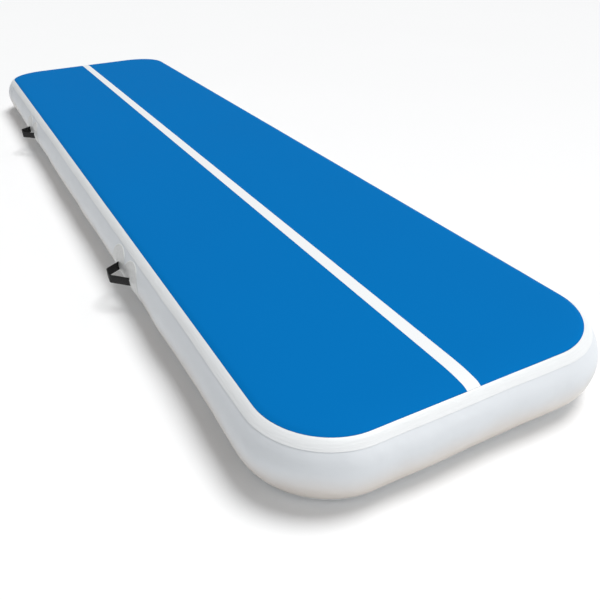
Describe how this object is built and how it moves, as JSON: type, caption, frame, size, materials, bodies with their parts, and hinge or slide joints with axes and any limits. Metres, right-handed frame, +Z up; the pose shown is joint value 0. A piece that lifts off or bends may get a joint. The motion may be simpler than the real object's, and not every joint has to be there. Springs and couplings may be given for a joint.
{
  "type": "air track mat",
  "caption": "Long inflatable tumbling mat with a flat deck and centre line, rolled edges, bulged side walls, webbing carry handles and a capped air valve.",
  "frame": {"origin": "on the floor under the middle of the mat", "axes": "+Y along the mat's length towards the valve end, +X across to the valve side, +Z up"},
  "size_m": [1.1642, 4.05, 0.2],
  "materials": {
    "deck_pvc": "satin",
    "white_pvc": "satin",
    "wall_pvc": "satin",
    "grey_pvc": "matte",
    "base_cloth": "matte",
    "webbing": "matte",
    "valve_plastic": "satin",
    "poppet_plastic": "satin",
    "cap_plastic": "satin",
    "seal_rubber": "matte",
    "spring_steel": "satin"
  },
  "bodies": {
    "mat": {"top_cloth": "base_cloth", "bottom_cloth": "base_cloth", "core_threads": "base_cloth", "deck_left": "deck_pvc", "deck_right": "deck_pvc", "centre_line": "white_pvc", "bottom_panel": "grey_pvc", "edge_tape_top": "white_pvc", "edge_tape_bottom": "white_pvc", "wall_strip_near": "wall_pvc", "wall_strip_far": "wall_pvc", "wall_laps": "wall_pvc", "handle_1_patches": "white_pvc", "handle_2_patches": "white_pvc", "handle_3_patches": "white_pvc", "handle_4_patches": "white_pvc", "handle_1_ends": "webbing", "handle_2_ends": "webbing", "handle_3_ends": "webbing", "handle_4_ends": "webbing", "valve_base": "white_pvc", "valve_body": "valve_plastic", "valve_washer": "seal_rubber", "valve_nut": "valve_plastic", "valve_spring": "spring_steel"},
    "handle_1": {"handle_1_strap": "webbing"},
    "handle_2": {"handle_2_strap": "webbing"},
    "handle_3": {"handle_3_strap": "webbing"},
    "handle_4": {"handle_4_strap": "webbing"},
    "poppet": {"valve_poppet": "poppet_plastic", "poppet_seal": "seal_rubber"},
    "tether": {"cap_tether": "cap_plastic"},
    "cap": {"valve_cap": "cap_plastic", "cap_seal": "seal_rubber"}
  },
  "joints": [
    {"name": "handle_1_swing", "type": "hinge", "parent": "mat", "child": "handle_1", "pos_m": [-0.535, -0.855, 0.1], "axis": [0, 1, 0], "range_deg": [-40, 45]},
    {"name": "handle_2_swing", "type": "hinge", "parent": "mat", "child": "handle_2", "pos_m": [-0.535, 0.935, 0.1], "axis": [0, 1, 0], "range_deg": [-40, 45]},
    {"name": "handle_3_swing", "type": "hinge", "parent": "mat", "child": "handle_3", "pos_m": [0.535, -0.855, 0.1], "axis": [0, -1, 0], "range_deg": [-40, 45]},
    {"name": "handle_4_swing", "type": "hinge", "parent": "mat", "child": "handle_4", "pos_m": [0.535, 0.935, 0.1], "axis": [0, -1, 0], "range_deg": [-40, 45]},
    {"name": "valve_push", "type": "slide", "parent": "mat", "child": "poppet", "axis": [-1, 0, 0], "range_m": [0, 0.006], "stiffness_N_per_m": 900, "springref_m": -0.002, "deforming": ["valve_spring"]},
    {"name": "tether_turn", "type": "hinge", "parent": "mat", "child": "tether", "pos_m": [0.525, 1.605, 0.1], "axis": [1, 0, 0], "range_deg": [-170, 170]},
    {"name": "cap_hinge", "type": "hinge", "parent": "tether", "child": "cap", "pos_m": [0.5335, 1.605, 0.062], "axis": [0, 1, 0], "range_deg": [0, 150]}
  ]
}
